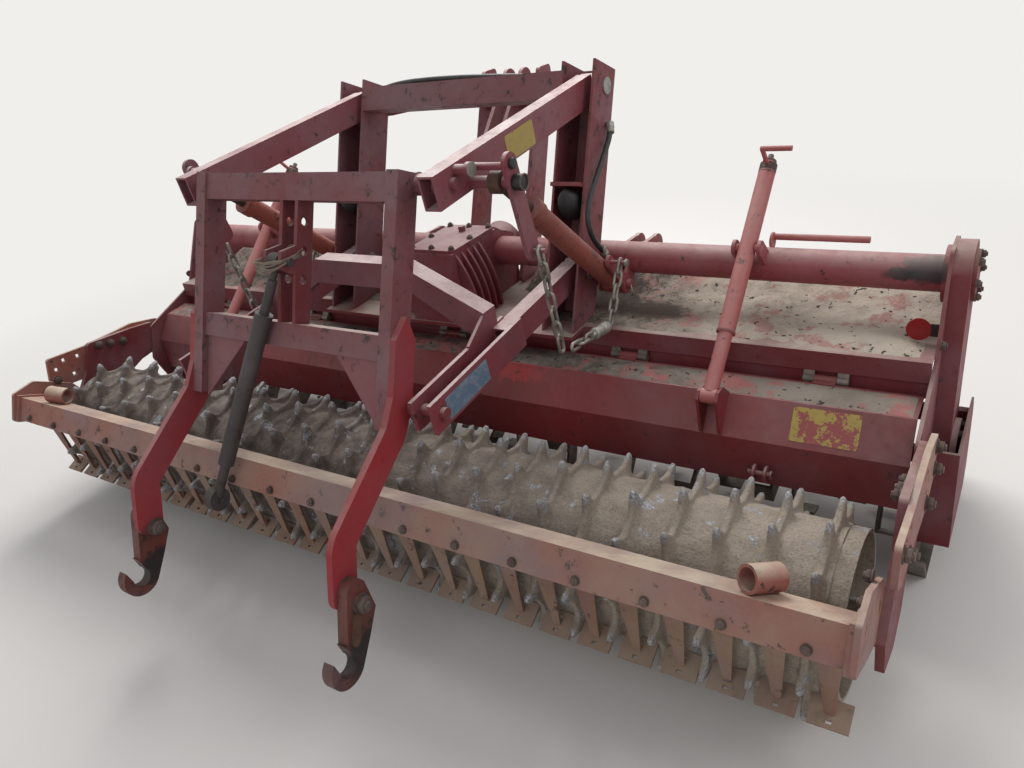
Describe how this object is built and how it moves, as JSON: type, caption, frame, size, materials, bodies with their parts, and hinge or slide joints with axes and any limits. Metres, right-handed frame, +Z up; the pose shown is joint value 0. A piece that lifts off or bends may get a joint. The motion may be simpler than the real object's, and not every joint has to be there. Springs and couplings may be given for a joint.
{
  "type": "rotary tiller with packer roller",
  "caption": "Tractor-mounted rotary tiller with a toothed packer roller, scrapers, and a hydraulic lifting linkage with hooks for a seed drill.",
  "frame": {"origin": "middle of the machine's box on the floor", "axes": "X across the machine, +Y the way it is towed, +Z up; the floor is z = 0"},
  "size_m": [3.3, 1.9519, 1.4408],
  "materials": {
    "faded_red": "faded, dusty red enamel",
    "dark_red": "older dark red enamel, dusty",
    "worn_steel": "bare worn steel with brown soil",
    "grey_steel": "oily grey casting",
    "zinc": "dull zinc plating",
    "rusty": "rusty forging",
    "rubber": "matt black rubber",
    "red_lens": "red reflector lens",
    "dark_link": "dark grey enamel"
  },
  "bodies": {
    "frame": {"hood": "dark_red", "hood_ridge": "dark_red", "centre_deck": "dark_red", "side_plates": "faded_red", "side_skids": "worn_steel", "main_tube": "faded_red", "gearbox": "grey_steel", "gearbox_cover": "grey_steel", "lift_posts": "faded_red", "lift_pins": "zinc", "lift_crossbar": "faded_red", "stop_shelves": "faded_red", "rubber_stops": "rubber", "mast": "faded_red", "mast_braces": "faded_red", "lower_link_brackets": "faded_red", "lower_link_pins": "zinc", "roller_arms": "dark_red", "roller_bearings": "grey_steel", "adjuster_plates": "faded_red", "scraper_beam": "faded_red", "beam_brackets": "faded_red", "beam_sleeves": "faded_red", "scrapers": "faded_red", "drive_case": "dark_red", "bearing_caps": "grey_steel", "side_guards": "dark_red", "reflectors": "red_lens", "tailboard_hinges": "worn_steel"},
    "packer_roller": {"packer_roller": "worn_steel"},
    "rotor": {"rotor": "worn_steel"},
    "input_shaft": {"input_shaft": "zinc"},
    "tailboard": {"tailboard": "faded_red"},
    "strut_tubes": {"strut_tubes": "dark_red"},
    "strut_rods": {"strut_rods": "zinc"},
    "lower_arms": {"lower_arms": "faded_red"},
    "upper_arms": {"upper_arms": "faded_red"},
    "hitch_frame": {"hitch_posts": "faded_red", "hitch_crossbars": "faded_red", "hitch_gussets": "faded_red", "hitch_centre_plates": "faded_red", "hitch_legs": "faded_red", "seeder_hooks": "rusty", "hook_latches": "rusty", "top_link": "dark_link"},
    "lift_barrels": {"lift_barrels": "dark_red"},
    "lift_rods": {"lift_rods": "zinc"},
    "check_chains": {"check_chains": "zinc"},
    "turnbuckles": {"turnbuckles": "zinc"}
  },
  "joints": [
    {"name": "roller_spin", "type": "hinge", "parent": "frame", "child": "packer_roller", "pos_m": [0, -0.284, 0.275], "axis": [1, 0, 0], "continuous": true},
    {"name": "rotor_spin", "type": "hinge", "parent": "frame", "child": "rotor", "pos_m": [0, 0.415, 0.29], "axis": [1, 0, 0], "continuous": true},
    {"name": "shaft_spin", "type": "hinge", "parent": "frame", "child": "input_shaft", "pos_m": [0, 0.74, 0.785], "axis": [0, 1, 0], "continuous": true},
    {"name": "tailboard_swing", "type": "hinge", "parent": "frame", "child": "tailboard", "pos_m": [0, 0.268, 0.58], "axis": [-1, 0, 0], "range_deg": [0, 35]},
    {"name": "strut_tip", "type": "hinge", "parent": "frame", "child": "strut_tubes", "pos_m": [0, 0.425, 0.899], "axis": [-1, 0, 0], "range_deg": [-0.5, 12]},
    {"name": "strut_slide", "type": "slide", "parent": "strut_tubes", "child": "strut_rods", "axis": [0, -0.7585, -0.6517], "range_m": [-0.115, 0.002]},
    {"name": "lift", "type": "hinge", "parent": "frame", "child": "lower_arms", "pos_m": [0, 0.3708, 0.81851], "axis": [-1, 0, 0], "range_deg": [0, 25]},
    {"name": "upper_arm_swing", "type": "hinge", "parent": "frame", "child": "upper_arms", "pos_m": [0, 0.603, 1.35], "axis": [-1, 0, 0], "range_deg": [-1, 26]},
    {"name": "hitch_frame_level", "type": "hinge", "parent": "lower_arms", "child": "hitch_frame", "pos_m": [0, -0.44583, 0.74419], "axis": [-1, 0, 0], "range_deg": [-26, 1]},
    {"name": "cylinder_tip", "type": "hinge", "parent": "frame", "child": "lift_barrels", "pos_m": [0, 0.441, 0.752], "axis": [-1, 0, 0], "range_deg": [-0.5, 17]},
    {"name": "cylinder_slide", "type": "slide", "parent": "lift_barrels", "child": "lift_rods", "axis": [0, -0.7497, 0.6618], "range_m": [-0.001, 0.229]},
    {"name": "chain_hang", "type": "hinge", "parent": "upper_arms", "child": "check_chains", "pos_m": [0, -0.09, 1.062], "axis": [-1, 0, 0], "range_deg": [-48, 1]},
    {"name": "turnbuckle_swing", "type": "hinge", "parent": "frame", "child": "turnbuckles", "pos_m": [0, 0.335, 0.868], "axis": [-1, 0, 0], "range_deg": [-1, 55]}
  ],
  "couplings": [
    {"joint": "shaft_spin", "follows": "rotor_spin", "ratio": 3.8},
    {"joint": "strut_tip", "follows": "tailboard_swing", "ratio": 0.2494},
    {"joint": "strut_slide", "follows": "tailboard_swing", "m_per_rad": -0.1659},
    {"joint": "upper_arm_swing", "follows": "lift", "ratio": 1},
    {"joint": "hitch_frame_level", "follows": "lift", "ratio": -1},
    {"joint": "cylinder_tip", "follows": "lift", "ratio": 0.6073},
    {"joint": "cylinder_slide", "follows": "lift", "m_per_rad": 0.5122},
    {"joint": "chain_hang", "follows": "lift", "ratio": -1.8607},
    {"joint": "turnbuckle_swing", "follows": "lift", "ratio": 2.1457}
  ]
}
